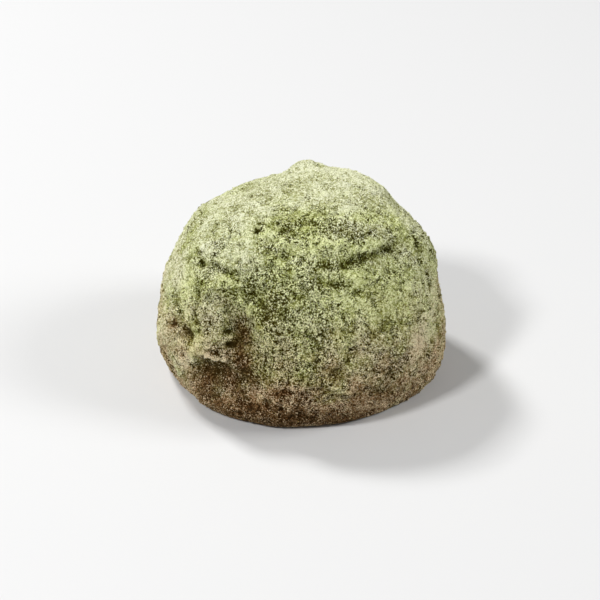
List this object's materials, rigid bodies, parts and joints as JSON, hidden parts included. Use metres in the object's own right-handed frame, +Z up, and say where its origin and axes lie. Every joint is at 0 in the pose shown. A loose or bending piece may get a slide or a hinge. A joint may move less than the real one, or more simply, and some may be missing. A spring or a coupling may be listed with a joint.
{
  "type": "mochi rice cake",
  "caption": "Soft round mochi rice cake, pinched shut at the top, dusted all over with green soybean flour.",
  "frame": {"origin": "under the middle of the cake's bounding box, on the surface that its flat foot rests on", "axes": "+Z up; +X to the cake's right, along its longest side; -Y to the front, which has the finger marks"},
  "size_m": [0.0604, 0.0564, 0.041],
  "materials": {
    "dusted_dough": "dry powder over soft dough, no shine"
  },
  "bodies": {
    "root": {"rice_cake": "dusted_dough"}
  },
  "joints": []
}
